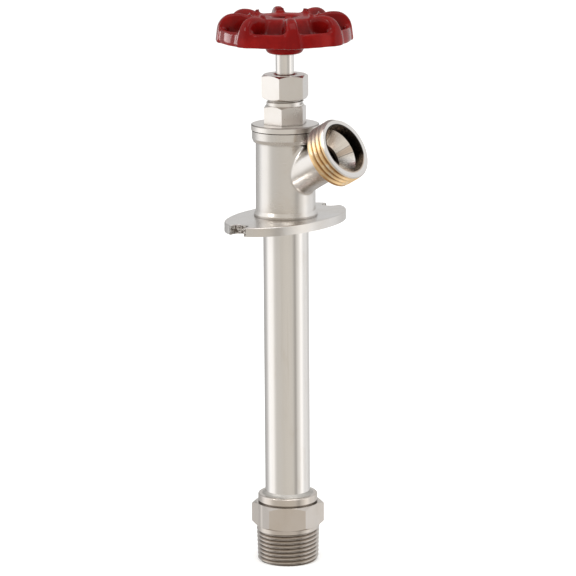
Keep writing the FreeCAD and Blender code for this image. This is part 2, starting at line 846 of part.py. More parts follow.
def make_washer_holder():
    """Cup for the rubber washer under a sleeve that swivels on the rod's end."""
    body = new_body("washer_holder")
    turn(body, "Revolution", "cup", [
        ("0", "holder_cup_floor"),
        ("washer_radius", "holder_cup_floor"),
        ("washer_radius", "holder_cup_bottom"),
        ("holder_cup_radius", "holder_cup_bottom"),
        ("holder_cup_radius", "holder_cup_top - 0.5"),
        ("holder_cup_radius - 0.5", "holder_cup_top"),
        ("holder_sleeve_radius", "holder_cup_top"),
        ("holder_sleeve_radius", "holder_top"),
        ("0", "holder_top"),
    ])
    bore(body, "rod_bore", "holder_bore", "holder_bore_bottom", "holder_top + 1")
    bore(body, "screw_hole", "screw_radius", "holder_cup_floor - 1", "screw_top")
    turn(body, "Groove", "clip_groove", [
        ("0", "clip_bottom"),
        ("clip_radius", "clip_bottom"),
        ("clip_radius", "clip_top"),
        ("0", "clip_top"),
    ])
    return body


def make_holder_clip():
    """Open spring ring that sits in the holder's groove and turns freely in the rod's."""
    body = new_body("holder_clip")
    ring(body, "ring", "clip_bore", "clip_radius", "clip_bottom", "clip_top")
    sketch = new_sketch(body, "XY_Plane", "gap_outline")
    half = "%.3f" % (size("clip_slot_width") / 2)
    draw_outline(sketch, [
        ("0", "0 - " + half),
        ("clip_radius + 1", "0 - " + half),
        ("clip_radius + 1", half),
        ("0", half),
    ])
    gap = body.newObject("PartDesign::Pocket", "gap")
    gap.Profile = (sketch, [""])
    gap.SideType = "Symmetric"
    gap.Length = 400
    doc.recompute()
    return body


def make_seat_washer():
    body = new_body("seat_washer")
    ring(body, "ring", "screw_radius", "washer_radius", "washer_bottom", "holder_cup_floor")
    return body


def make_washer_screw():
    """Holds the washer in its cup. Its head points down through the valve seat."""
    body = new_body("washer_screw")
    ring(body, "head", "0", "screw_head_radius", "screw_head_bottom", "washer_bottom")
    ring(body, "shank", "0", "screw_radius", "washer_bottom", "screw_top")
    cut_slot(body, "screw_head_bottom", "screw_head_bottom + screw_slot_depth")
    return body


def make_handle_screw():
    body = new_body("handle_screw")
    ring(body, "shank", "0", "handle_screw_radius", "handle_screw_bottom", "handle_washer_top")
    ring(body, "head", "0", "handle_screw_head_radius", "handle_washer_top", "handle_screw_top")
    soften_circle(body, "Fillet", "head_edge", "handle_screw_head_radius", "handle_screw_top",
                  "collar_round")
    cut_slot(body, "handle_screw_top", "handle_screw_top - screw_slot_depth")
    return body


def cut_slot(body, mouth, floor):
    """A screwdriver slot along Y, from the head's face to its floor."""
    half = "%.3f" % (size("screw_slot") / 2)
    sketch = new_sketch(body, "XZ_Plane", "slot_outline")
    draw_outline(sketch, [
        ("0 - " + half, mouth),
        (half, mouth),
        (half, floor),
        ("0 - " + half, floor),
    ])
    pocket_through(body, "slot", sketch)


# Handwheel.


def make_handwheel():
    """Dished casting: hub, raised centre disc, low outer band and eight finger ribs."""
    body = new_body("handwheel")
    turn(body, "Revolution", "blank", [
        ("0", "wheel_hub_bottom"),
        ("wheel_hub_radius", "wheel_hub_bottom"),
        ("wheel_hub_radius", "wheel_disc_under"),
        ("wheel_under_radius", "wheel_disc_under"),
        ("wheel_web_radius", "wheel_web_under"),
        ("wheel_band_inner", "wheel_web_edge_under"),
        ("wheel_band_under", "0"),
        ("wheel_band_foot", "0"),
        ("wheel_band_radius", "wheel_band_top"),
        ("wheel_band_inner", "wheel_band_top"),
        ("wheel_band_inner", "wheel_web_edge_top"),
        ("wheel_web_radius", "wheel_web_top"),
        ("wheel_disc_radius", "wheel_disc_top"),
        ("0", "wheel_disc_top"),
    ])
    rib = body.newObject("PartDesign::Pad", "rib")
    sketch = new_sketch(body, "XY_Plane", "rib_outline")
    half = "%.3f" % (size("rib_width") / 2)
    draw_outline(sketch, [
        ("rib_start", "0 - " + half),
        ("rib_stock_end", "0 - " + half),
        ("rib_stock_end", half),
        ("rib_start", half),
    ])
    rib.Profile = (sketch, [""])
    bind(rib, "Length", "rib_stock_top")
    rib.TaperAngle = -size("rib_taper")
    bind(rib, "TaperAngle", "0 - rib_taper")
    doc.recompute()
    ribs = body.newObject("PartDesign::PolarPattern", "ribs")
    ribs.Originals = [rib]
    ribs.Axis = (body.Origin.OriginFeatures[2], [""])
    bind(ribs, "Occurrences", "wheel_ribs")
    body.Tip = ribs
    doc.recompute()
    turn(body, "Groove", "rib_crests", [
        ("rib_inner", "wheel_disc_top", "-rib_inner_arc"),
        ("rib_crest_at", "rib_crest", "-rib_outer_arc"),
        ("rib_outer", "rib_shoulder"),
        ("rib_foot", "0"),
        ("rib_foot", "0 - 1"),
        ("rib_stock_end + 3", "0 - 1"),
        ("rib_stock_end + 3", "rib_stock_top + 2"),
        ("rib_inner", "rib_stock_top + 2"),
    ])
    bore(body, "screw_recess", "wheel_recess_radius", "wheel_recess_floor", "wheel_disc_top + 1")
    soften_circle(body, "Fillet", "hub_edge", "wheel_hub_radius", "wheel_hub_bottom",
                  "wheel_hub_round")
    half = "%.3f" % (size("stem_square") / 2)
    square = new_sketch(body, "XY_Plane", "square_outline")
    draw_outline(square, [
        ("0 - " + half, "0 - " + half),
        (half, "0 - " + half),
        (half, half),
        ("0 - " + half, half),
    ])
    pocket_through(body, "square_hole", square)
    bind(body, "Placement.Base.z", "wheel_level")
    doc.recompute()
    return body


def make_handle_washer():
    body = new_body("handle_washer")
    ring(body, "ring", "handle_screw_radius", "handle_washer_radius", "handle_washer_bottom",
         "handle_washer_top")
    return body


# Build, check and write.

pieces = [
    make_head_casting(),
    make_wall_flange(),
    make_bonnet(),
    make_packing_nut(),
    make_stem_packing(),
    make_inlet_fitting(),
    make_solder_ring("inlet_solder_ring", "inlet_collar_top", 1),
    make_solder_ring("head_solder_ring", "spigot_bottom", -1),
    make_operating_stem(),
    make_extension_rod(),
    make_rod_pin(),
    make_rod_guide(),
    make_washer_holder(),
    make_holder_clip(),
    make_seat_washer(),
    make_washer_screw(),
    make_handwheel(),
    make_handle_washer(),
    make_handle_screw(),
]
pieces.extend(make_simple_rings())
doc.recompute()

for thing in doc.Objects:
    faults = [state for state in thing.State if state in ("Invalid", "Error")]
    if faults:
        raise RuntimeError("%s is %s" % (thing.Name, faults))

os.makedirs("parts", exist_ok=True)
for piece in pieces:
    shape = piece.Shape
    if shape.isNull() or not shape.isValid() or not shape.Solids:
        raise RuntimeError(piece.Label + " has no valid solid")
    shape.exportStep(os.path.join("parts", piece.Label + ".step"))
    print("%-20s %d solid(s) %10.1f mm3" % (piece.Label, len(shape.Solids), shape.Volume))
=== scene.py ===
import bpy
import math
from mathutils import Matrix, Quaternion, Vector


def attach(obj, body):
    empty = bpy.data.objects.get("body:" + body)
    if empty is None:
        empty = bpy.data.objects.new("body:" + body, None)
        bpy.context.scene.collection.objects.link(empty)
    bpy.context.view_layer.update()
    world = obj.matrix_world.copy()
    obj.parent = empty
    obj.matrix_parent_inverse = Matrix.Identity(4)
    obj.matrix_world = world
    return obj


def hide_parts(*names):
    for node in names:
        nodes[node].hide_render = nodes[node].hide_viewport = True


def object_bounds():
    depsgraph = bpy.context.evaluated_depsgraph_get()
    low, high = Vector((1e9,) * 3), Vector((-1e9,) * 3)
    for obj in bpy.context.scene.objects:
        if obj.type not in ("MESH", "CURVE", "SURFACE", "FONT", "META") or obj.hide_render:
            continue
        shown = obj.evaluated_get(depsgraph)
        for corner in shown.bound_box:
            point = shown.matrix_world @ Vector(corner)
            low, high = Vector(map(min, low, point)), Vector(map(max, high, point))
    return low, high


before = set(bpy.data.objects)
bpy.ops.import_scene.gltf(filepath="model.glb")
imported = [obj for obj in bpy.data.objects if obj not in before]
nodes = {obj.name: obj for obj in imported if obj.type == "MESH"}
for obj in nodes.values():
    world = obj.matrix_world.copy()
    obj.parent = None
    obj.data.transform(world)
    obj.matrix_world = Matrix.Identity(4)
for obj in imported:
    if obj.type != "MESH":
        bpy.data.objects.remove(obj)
cadLow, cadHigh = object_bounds()
mm = 0.001      # one millimetre, in metres
print("frame loaded:", len(nodes), "nodes")

studio = {
    # angles in degrees, lengths in metres, the lens and its sensor in mm; azimuth 0 looks along +Y, and
    # positive moves the camera towards +X
    "azimuth": 38.0,
    "pitch": 12.1,
    "distance": 1.302,
    "lens": 193.7,
    "sensor": 36.0,
    "nearest": 0.05,
    "farthest": 50.0,
    "roll": -0.4,
    "aimHeight": -0.0275,
    "aimAside": 0.0007,
    "floorWidth": 14.0,
    "paper": (0.94, 0.94, 0.935),
    "paperRoughness": 0.9,
    "paperGlow": 0.30,
}


def around(bearing, elevation=0.0):
    # unit vector away from the object; bearing counts from the camera's side, positive to its right
    swing = math.radians(studio["azimuth"] + bearing)
    lift = math.radians(elevation)
    flat = math.cos(lift)
    return Vector((math.sin(swing) * flat, -math.cos(swing) * flat, math.sin(lift)))


def addCamera():
    data = bpy.data.cameras.new("camera")
    data.lens = studio["lens"]
    data.sensor_width = studio["sensor"]
    data.clip_start = studio["nearest"]
    data.clip_end = studio["farthest"]
    camera = bpy.data.objects.new("camera", data)
    bpy.context.scene.collection.objects.link(camera)
    aim = Vector((0, 0, studio["aimHeight"])) + around(90) * studio["aimAside"]
    outward = around(0, studio["pitch"])
    camera.location = aim + outward * studio["distance"]
    look = (-outward).to_track_quat("-Z", "Y")
    roll = Quaternion((0, 0, 1), math.radians(studio["roll"]))
    camera.rotation_mode = "QUATERNION"
    camera.rotation_quaternion = look @ roll
    bpy.context.scene.camera = camera


class Wire:
    # one node output; sums written on wires become Math nodes
    def __init__(self, owner, socket):
        self.owner = owner
        self.socket = socket

    def join(self, operation, first, second):
        settings = {"operation": operation}
        return self.owner.node("Math", settings, {0: first, 1: second})

    def __add__(self, other):
        return self.join("ADD", self, other)

    def __radd__(self, other):
        return self.join("ADD", other, self)

    def __sub__(self, other):
        return self.join("SUBTRACT", self, other)

    def __rsub__(self, other):
        return self.join("SUBTRACT", other, self)

    def __mul__(self, other):
        return self.join("MULTIPLY", self, other)

    def __rmul__(self, other):
        return self.join("MULTIPLY", other, self)

    def __truediv__(self, other):
        return self.join("DIVIDE", self, other)

    def __pow__(self, other):
        return self.join("POWER", self, other)


class NodeTree:
    # adds nodes to one tree, and gives back their first output, or the one asked for, as a Wire
    def __init__(self, tree):
        self.tree = tree

    def node(self, kind, settings, values, output=0):
        made = self.tree.nodes.new("ShaderNode" + kind)
        for key, value in settings.items():
            if key == "stops":
                self.setStops(made.color_ramp, value)
            else:
                setattr(made, key, value)
        for key, value in values.items():
            self.feed(made.inputs[key], value)
        return Wire(self, made.outputs[output])

    def setStops(self, ramp, stops):
        while len(ramp.elements) < len(stops):
            ramp.elements.new(0.5)
        for element, (place, shade) in zip(ramp.elements, stops):
            element.position = place
            element.color = (*shade, 1)

    def feed(self, socket, value):
        if isinstance(value, Wire):
            self.tree.links.new(value.socket, socket)
        elif isinstance(value, tuple) and len(value) == 3 and socket.type == "RGBA":
            socket.default_value = (*value, 1)
        else:
            socket.default_value = value

    def steps(self, value, low, high):
        # 0 at low, 1 at high, smooth between
        values = {"Value": value, "From Min": low, "From Max": high}
        return self.node("MapRange", {"interpolation_type": "SMOOTHSTEP"}, values)

    def mix(self, factor, first, second):
        # a colour Mix has its factor at socket 0, its colours at 6 and 7, and its result at output 2
        values = {0: factor, 6: first, 7: second}
        return self.node("Mix", {"data_type": "RGBA"}, values, 2)

    def coordinates(self, vector):
        split = self.tree.nodes.new("ShaderNodeSeparateXYZ")
        self.feed(split.inputs[0], vector)
        return [Wire(self, output) for output in split.outputs]


tent = {
    # wall level by bearing from the camera's side: even in front, a bright panel on each side, a dark
    # seam before the right one, and dimmer at the back; the bearings rise from -180 to 180
    "walls": (
        (-180, 0.72), (-158, 0.46), (-124, 0.66), (-114, 1.00), (-102, 1.32), (-76, 1.30), (-62, 0.86),
        (-54, 0.74), (-20, 0.73), (8, 0.77), (30, 0.75), (42, 0.48), (47, 0.48), (55, 0.84),
        (66, 0.98), (75, 1.34), (85, 1.34), (96, 0.96), (120, 0.98), (140, 0.74), (165, 0.70),
        (180, 0.72),
    ),
    "warmCast": (0.0, 0.05, 0.13),      # share taken from red, green and blue in front
    # each fades in between two slopes: 0 is level and 1 straight up, or straight down
    "top": 0.85,
    "topFrom": 0.55,
    "topTo": 0.85,
    "low": (0.60, 0.56, 0.51),
    "lowFrom": 0.28,
    "lowTo": 0.50,
    "under": (0.36, 0.275, 0.205),
    "underFrom": 0.76,
    "underTo": 0.95,
}


def wallShade(bearing, level):
    # neutral at the sides and the back, warmer in front
    front = max(0.0, math.cos(math.radians(bearing)))
    return tuple(level * (1 - front * cast) for cast in tent["warmCast"])


def addTent():
    # its walls are one band of levels round the object; lower down they dim and turn warm, in two steps
    world = bpy.data.worlds.new("lightTent")
    world.use_nodes = True
    tree = NodeTree(world.node_tree)
    x, y, z = tree.coordinates(tree.node("TexCoord", {}, {}, "Generated"))
    bearing = tree.node("Math", {"operation": "ARCTAN2"}, {0: x, 1: 0 - y})
    turned = bearing * (0.5 / math.pi) + (0.5 - studio["azimuth"] / 360)
    turned = tree.node("Math", {"operation": "FRACT"}, {0: turned})
    brightest = max(level for _, level in tent["walls"])
    stops = [((angle + 180) / 360, wallShade(angle, level / brightest)) for angle, level in tent["walls"]]
    walls = tree.node("ValToRGB", {"stops": stops}, {"Fac": turned})
    walls = tree.node("VectorMath", {"operation": "SCALE"}, {0: walls, "Scale": brightest})
    overhead = tree.steps(z, tent["topFrom"], tent["topTo"])
    shade = tree.mix(overhead, walls, (tent["top"],) * 3)
    down = 0 - z
    shade = tree.mix(tree.steps(down, tent["lowFrom"], tent["lowTo"]), shade, tent["low"])
    shade = tree.mix(tree.steps(down, tent["underFrom"], tent["underTo"]), shade, tent["under"])
    tree.feed(world.node_tree.nodes["Background"].inputs["Color"], shade)
    bpy.context.scene.world = world


softboxes = {
    # bearing and elevation in degrees, distance, width and height in metres, power in watts
    "leftBox": (-62, 38, 1.1, 0.22, 0.30, 1.5),
    "topBox": (30, 72, 1.4, 1.0, 1.0, 6.0),
    "wheelBox": (-112, 22, 0.25, 0.09, 0.08, 0.18),    # for the handwheel alone, and added with it
}


def addSoftbox(name):
    bearing, elevation, distance, width, height, power = softboxes[name]
    data = bpy.data.lights.new(name, "AREA")
    data.shape = "RECTANGLE"
    data.size = width
    data.size_y = height
    data.energy = power
    lamp = bpy.data.objects.new(name, data)
    bpy.context.scene.collection.objects.link(lamp)
    outward = around(bearing, elevation)
    lamp.location = outward * distance
    lamp.rotation_mode = "QUATERNION"
    lamp.rotation_quaternion = outward.to_track_quat("Z", "Y")
    lamp.visible_camera = False
    return lamp


def addFloor():
    half = studio["floorWidth"] / 2
    mesh = bpy.data.meshes.new("floor")
    corners = [(-half, -half, 0), (half, -half, 0), (half, half, 0), (-half, half, 0)]
    mesh.from_pydata(corners, [], [(0, 1, 2, 3)])
    floor = bpy.data.objects.new("floor", mesh)
    floor.location.z = cadLow.z
    bpy.context.scene.collection.objects.link(floor)
    paint = bpy.data.materials.new("floorPaper")
    paint.use_nodes = True
    shader = paint.node_tree.nodes["Principled BSDF"]
    shader.inputs["Base Color"].default_value = (*studio["paper"], 1)
    shader.inputs["Roughness"].default_value = studio["paperRoughness"]
    shader.inputs["Emission Color"].default_value = (1, 1, 1, 1)
    shader.inputs["Emission Strength"].default_value = studio["paperGlow"]
    mesh.materials.append(paint)
    # the tent, not the floor, is what the metal mirrors
    floor.visible_glossy = False


addCamera()
addFloor()
addTent()
addSoftbox("leftBox")
addSoftbox("topBox")
bpy.context.scene.view_settings.view_transform = "Standard"
print("studio set")


class Finish(NodeTree):
    # one material and the nodes that make it
    labels = {
        "BaseColor": "Base Color",
        "Specular": "Specular IOR Level",
        "CoatWeight": "Coat Weight",
        "CoatRoughness": "Coat Roughness",
        "CoatIor": "Coat IOR",
    }

    def __init__(self, name):
        self.material = bpy.data.materials.new(name)
        self.material.use_nodes = True
        NodeTree.__init__(self, self.material.node_tree)
        self.shader = self.tree.nodes["Principled BSDF"]

    def set(self, **values):
        for key, value in values.items():
            self.feed(self.shader.inputs[self.labels.get(key, key)], value)

    def place(self):
        return self.node("TexCoord", {}, {}, "Object")

    def scaled(self, x, y, z):
        return self.node("Mapping", {}, {"Vector": self.place(), "Scale": (x, y, z)})

    def noise(self, vector, scale, detail=3.0, roughness=0.5):
        values = {"Vector": vector, "Scale": scale, "Detail": detail, "Roughness": roughness}
        return self.node("TexNoise", {"noise_dimensions": "3D"}, values, "Fac")

    def bump(self, height, distance, strength):
        # distance is in mm; a second bump adds to the first
        values = {"Height": height, "Distance": distance * mm, "Strength": strength}
        if self.shader.inputs["Normal"].links:
            values["Normal"] = self.fed("Normal")
        return self.node("Bump", {}, values)

    def fed(self, name):
        # what already feeds one of the shader's sockets
        return Wire(self, self.shader.inputs[name].links[0].from_socket)

    def size(self, value):
        return self.node("Math", {"operation": "ABSOLUTE"}, {0: value})

    def past(self, value, low, high):
        # the same steps, with low and high in mm
        return self.steps(value, low * mm, high * mm)

    def crevice(self, reach, clear=0.80, fade=0.5):
        # painted shade: 1 deep in a corner or a thread root, and 0 from where the share of the
        # surroundings that is open, within reach in mm, comes to clear
        light = self.node("AmbientOcclusion", {"samples": 6}, {"Distance": reach * mm}, "AO")
        return 1 - self.steps(light, clear - fade, clear)


metal = {
    "nickel": (0.71, 0.685, 0.66),
    "nickelWarm": (0.66, 0.60, 0.53),
    "nickelDull": (0.56, 0.52, 0.48),
    "nutNickel": (0.80, 0.77, 0.74),
    "nutWarm": (0.75, 0.70, 0.64),
    "inletNickel": (0.65, 0.60, 0.555),
    "inletWarm": (0.60, 0.53, 0.46),
    "threadGrey": (0.40, 0.36, 0.33),
    "brightNickel": (0.76, 0.735, 0.71),
    "grimeAndShade": (0.11, 0.085, 0.065),
    "brass": (0.82, 0.58, 0.32),
    "brassCrestHighlight": (0.84, 0.74, 0.58),
    "brassDarkAndRootShade": (0.40, 0.25, 0.13),
    "steel": (0.55, 0.55, 0.56),
    "solder": (0.52, 0.50, 0.47),
    "funnelGrey": (0.90, 0.86, 0.81),
    "funnelBrown": (0.68, 0.58, 0.49),
    "mouthAndHoleShade": (0.035, 0.028, 0.022),
}


castings = {
    # cast grain, roughness, stretch of the tool lines, reach of the painted corner shade in mm, clean and
    # stained colour
    "headCasting": (1.3, 0.25, (30, 30, 380), 2.4, "nickel", "nickelWarm"),
    "flangeNickel": (1.0, 0.24, (25, 25, 420), 1.6, "nickel", "nickelWarm"),
    "wrenchNickel": (0.7, 0.30, (160, 160, 30), 1.6, "nutNickel", "nutWarm"),
    "bonnetNickel": (0.7, 0.30, (160, 160, 30), 1.6, "nutNickel", "nutWarm"),
    "threadNickel": (0.8, 0.22, (90, 90, 120), 1.2, "inletNickel", "inletWarm"),
}
plating = {
    "cloudScale": 90,
    "pitScale": 1400,
    "lineScale": 8,
    "tarnishScale": 45,
    "tarnish": 0.6,
    "pits": 0.25,
    "dirtAndShade": 0.85,
    "cloudGloss": 0.12,     # how far roughness swings over the mottling, and over the lines
    "lineGloss": 0.10,
    "relief": 0.06,         # mm
}


def platedCasting(name):
    # satin nickel over a cast or turned surface: soft mottling, fine tool lines, pits, and painted shade
    # darkening its corners and crevices
    grain, roughness, brush, reach, clean, stainedAndLit = castings[name]
    finish = Finish(name)
    place = finish.place()
    cloud = finish.noise(place, plating["cloudScale"], 4)
    fine = finish.noise(place, plating["pitScale"], 3, 0.6)
    lines = finish.noise(finish.scaled(*brush), plating["lineScale"], 5, 0.65)
    tarnish = finish.steps(finish.noise(place, plating["tarnishScale"], 5, 0.6), 0.42, 0.75)
    shade = finish.mix(tarnish * plating["tarnish"], metal[clean], metal[stainedAndLit])
    pits = finish.steps(fine, 0.62, 0.8)
    shade = finish.mix(pits * plating["pits"], shade, metal["nickelDull"])
    # painted shade: corners and crevices darkened by the occlusion mask
    shade = finish.mix(finish.crevice(reach) * plating["dirtAndShade"], shade, metal["grimeAndShade"])
    finish.set(BaseColor=shade, Metallic=1.0)
    swing = cloud * plating["cloudGloss"] + lines * plating["lineGloss"]
    finish.set(Roughness=swing + (roughness - (plating["cloudGloss"] + plating["lineGloss"]) / 2))
    height = lines * 0.6 + fine * 0.4 * grain
    finish.set(Normal=finish.bump(height, plating["relief"] * grain, 0.35))
    return finish


drawn = {
    "lineStretch": (260, 260, 4),
    "lineScale": 3,
    "cloudScale": 38,
    "stainStretch": (9, 9, 2.2),
    "stainScale": 12,
    "lines": 0.35,
    "stain": 0.6,
    "dirtAndShade": 0.8,
    "shadeReach": 1.2,       # mm
    "roughness": 0.09,
    "relief": 0.03,         # mm
}


def drawnTube(name):
    # bright plate over drawn tube: long faint draw lines and a few warm stains
    finish = Finish(name)
    lines = finish.noise(finish.scaled(*drawn["lineStretch"]), drawn["lineScale"], 4, 0.6)
    cloud = finish.noise(finish.place(), drawn["cloudScale"], 4)
    shade = finish.mix(finish.steps(cloud, 0.45, 0.8), metal["brightNickel"], metal["nickel"])
    shade = finish.mix(finish.steps(lines, 0.55, 0.8) * drawn["lines"], shade, metal["nickelDull"])
    stain = finish.noise(finish.scaled(*drawn["stainStretch"]), drawn["stainScale"], 5, 0.6)
    shade = finish.mix(finish.steps(stain, 0.52, 0.70) * drawn["stain"], shade, metal["nickelWarm"])
    # painted shade: the tube's corners and seams darkened by the occlusion mask
    shade = finish.mix(finish.crevice(drawn["shadeReach"]) * drawn["dirtAndShade"], shade, metal["grimeAndShade"])
    finish.set(BaseColor=shade, Metallic=1.0)
    finish.set(Roughness=cloud * 0.06 + lines * 0.05 + drawn["roughness"])
    finish.set(Normal=finish.bump(lines, drawn["relief"], 0.25))
    return finish


spout = {
    # its axis leaves the tube's axis at this height and climbs at this angle
    "height": 17.1,
    "angle": 30.0,
    # along that axis, or out from it, mm
    "threadBack": 26.9,
    "threadFront": 35.3,
    "threadRoot": 12.1,
    "threadCrest": 13.5,
    "mouthRadius": 10.5,
    "mouthBack": 31.1,
    "holeRadius": 6.0,
    "funnelBack": 24.6,
    "tubeWall": 12.0,
    # across that axis, upward, mm: plate is worn off below one height and whole above the other
    "wornBelow": 3.0,
    "plateAbove": 11.0,
    "wornRagged": 5.0,
    # the mouth has a painted brown reflection below one height and painted shade above the other, with a
    # ragged border
    "mouthLitBelow": -8.0,
    "darkAbove": -3.0,
    "mouthLitRagged": 7.0,
    # scales of the spots, and of the cutter's marks round the funnel
    "spotScale": 300,
    "cutterScale": 1.6,
}


def headFinish():
    # the plated casting: brass shows on the lower half of the hose thread, where the plate wears first,
    # with painted shade in the thread's roots and painted highlights on its crests; the mouth and the
    # hole are painted dark as shade, with a painted brown reflection low in the mouth, and the funnel
    # behind it keeps the marks of its cutter
    finish = platedCasting("headCasting")
    plated = finish.fed("Base Color")
    x, y, z = finish.coordinates(finish.place())
    lean = math.radians(spout["angle"])
    rise = z - spout["height"] * mm
    along = x * math.cos(lean) + rise * math.sin(lean)
    across = rise * math.cos(lean) - x * math.sin(lean)
    off = (across ** 2.0 + y * y) ** 0.5
    spotty = finish.noise(finish.place(), spout["spotScale"], 4)

    outside = finish.past(off, spout["mouthRadius"] + 0.8, spout["threadRoot"] - 0.4)
    pastNeck = finish.past(along, spout["threadBack"] - 0.2, spout["threadBack"] + 0.4)
    behindRim = 1 - finish.past(along, spout["threadFront"] - 0.2, spout["threadFront"] + 0.3)
    thread = outside * pastNeck * behindRim
    ragged = across + (spotty - 0.5) * (spout["wornRagged"] * mm)
    worn = 1 - finish.past(ragged, spout["wornBelow"], spout["plateAbove"])
    # painted shade darkens the thread's roots, and a painted highlight pales its crests in patches
    crest = finish.past(off, spout["threadRoot"] + 0.1, spout["threadCrest"] - 0.25)
    brass = finish.mix(crest, metal["brassDarkAndRootShade"], metal["brass"])
    brass = finish.mix(finish.steps(spotty, 0.50, 0.72) * crest, brass, metal["brassCrestHighlight"])
    shade = finish.mix(thread, plated, finish.mix(worn, metal["threadGrey"], brass))

    # inside is nearer the axis than the wall of the hole, the funnel and the mouth in turn
    funnelDepth = spout["mouthBack"] - spout["funnelBack"]
    slope = (spout["mouthRadius"] - spout["holeRadius"]) / funnelDepth
    wall = (along - spout["funnelBack"] * mm) * slope + spout["holeRadius"] * mm
    limits = {"Min": spout["holeRadius"] * mm, "Max": spout["mouthRadius"] * mm}
    wall = finish.node("Clamp", {}, {"Value": wall, **limits})
    inside = 1 - finish.past(off - wall, 0.3, 0.7)
    mouth = inside * finish.past(along, spout["mouthBack"] - 0.1, spout["mouthBack"] + 0.3)
    # the hole's painted shade reaches 1 mm up the funnel
    throat = inside * (1 - finish.past(along, spout["funnelBack"] + 0.7, spout["funnelBack"] + 1.0))
    funnel = inside - mouth - throat

    spoke = finish.node("CombineXYZ", {}, {"X": across / off, "Y": y / off})
    streak = finish.noise(spoke, spout["cutterScale"], 2)
    cutter = finish.mix(finish.steps(streak, 0.44, 0.58), metal["funnelGrey"], metal["funnelBrown"])
    ridge = 1 - finish.steps(finish.size(streak - 0.5), 0, 0.02)
    cutter = finish.mix(ridge * 0.8, cutter, metal["grimeAndShade"])
    shade = finish.mix(funnel, shade, cutter)
    # painted shade darkens the mouth's wall above, and a painted brown reflection lightens it below
    ragged = across + (spotty - 0.5) * (spout["mouthLitRagged"] * mm)
    stainedAndLit = 1 - finish.past(ragged, spout["mouthLitBelow"], spout["darkAbove"])
    shade = finish.mix(mouth, shade, finish.mix(stainedAndLit * 0.8, metal["mouthAndHoleShade"], metal["funnelBrown"]))
    # painted shade darkens the hole deep inside
    deep = throat * finish.past(along, spout["tubeWall"], spout["tubeWall"] + 1)
    shade = finish.mix(deep, shade, metal["mouthAndHoleShade"])
    finish.set(BaseColor=shade, Roughness=finish.fed("Roughness") + thread * (1 - worn) * 0.2)
    return finish


bonnetDisc = {
    "radius": 14.2,     # mm, and so are its top and its rounding
    "top": 42.5,
    "round": 0.55,
    "dirtAndShade": 0.65,
}


def bonnetFinish():
    # wrench-worn nickel, with a painted dark line of shade on the disc's rounded edge
    finish = platedCasting("bonnetNickel")
    x, y, z = finish.coordinates(finish.place())
    off = (x * x + y * y) ** 0.5
    inner = bonnetDisc["radius"] - bonnetDisc["round"]
    lower = bonnetDisc["top"] - bonnetDisc["round"]
    # painted shade: a dark line round the disc's rounded top edge
    edge = finish.past(off, inner, inner + 0.15) * finish.past(z, lower, lower + 0.2)
    shade = finish.mix(edge * bonnetDisc["dirtAndShade"], finish.fed("Base Color"), metal["grimeAndShade"])
    finish.set(BaseColor=shade)
    return finish


flangeNotch = {
    "start": 23.0,          # mm from the middle of the plate
    "halfWidth": 4.0,       # mm
    "raggedScale": 850,
    "dirtAndShade": 0.9,
    "relief": 0.9,          # mm
}


def flangeFinish():
    # the same casting, ragged and stained inside the screw notches, where nothing was machined
    finish = platedCasting("flangeNickel")
    x, y = finish.coordinates(finish.place())[:2]
    upward = finish.coordinates(finish.node("TexCoord", {}, {}, "Normal"))[2]
    notch = finish.past(finish.size(y), flangeNotch["start"] - 1, flangeNotch["start"])
    beside = finish.past(finish.size(x), flangeNotch["halfWidth"], flangeNotch["halfWidth"] + 0.4)
    notch = notch * (1 - beside)
    notch = notch * (1 - finish.steps(finish.size(upward), 0.3, 0.6))
    ragged = finish.noise(finish.place(), flangeNotch["raggedScale"], 4, 0.7)
    dirtAndShade = notch * finish.steps(ragged, 0.46, 0.56) * flangeNotch["dirtAndShade"]
    finish.set(BaseColor=finish.mix(dirtAndShade, finish.fed("Base Color"), metal["grimeAndShade"]))
    finish.set(Normal=finish.bump(ragged * notch, flangeNotch["relief"], 1.0))
    return finish


bareMetals = {
    # colour, its darker patches, roughness, stretch of the tool lines
    "bareBrass": ("brass", "brassDarkAndRootShade", 0.26, (30, 30, 500)),
    "plainSteel": ("steel", "nickelDull", 0.30, (60, 60, 300)),
    "solderTin": ("solder", "grimeAndShade", 0.50, (90, 90, 90)),
}
oxideAndShade = {
    "lineScale": 8,
    "cloudScale": 120,
    "dirtAndShade": 0.7,
    "shadeReach": 0.8,       # mm
    "relief": 0.04,         # mm
}


def bareMetal(name):
    # turned, drawn or melted metal with tool lines round it, a little oxide, and painted shade in its
    # corners
    clean, darker, roughness, brush = bareMetals[name]
    finish = Finish(name)
    lines = finish.noise(finish.scaled(*brush), oxideAndShade["lineScale"], 4, 0.6)
    cloud = finish.noise(finish.place(), oxideAndShade["cloudScale"], 4)
    shade = finish.mix(finish.steps(cloud, 0.45, 0.8), metal[clean], metal[darker])
    # painted shade: corners darkened by the occlusion mask
    shade = finish.mix(finish.crevice(oxideAndShade["shadeReach"]) * oxideAndShade["dirtAndShade"], shade, metal["grimeAndShade"])
    finish.set(BaseColor=shade, Metallic=1.0)
    finish.set(Roughness=cloud * 0.15 + lines * 0.1 + (roughness - 0.12))
    finish.set(Normal=finish.bump(lines, oxideAndShade["relief"], 0.4))
    return finish


softMaterials = {
    # colour, a second colour in patches, roughness, scale of the grain
    "gasketFibre": ((0.10, 0.06, 0.045), (0.16, 0.11, 0.08), 0.8, 900),
    "packingFibre": ((0.02, 0.02, 0.022), (0.05, 0.05, 0.05), 0.6, 700),
    "guidePlastic": ((0.80, 0.79, 0.75), (0.70, 0.69, 0.66), 0.45, 500),
    "seatRubber": ((0.012, 0.012, 0.012), (0.03, 0.03, 0.03), 0.7, 800),
}
moulding = {
    "patchScale": 0.12,     # of the grain's own scale
    "relief": 0.08,         # mm
}


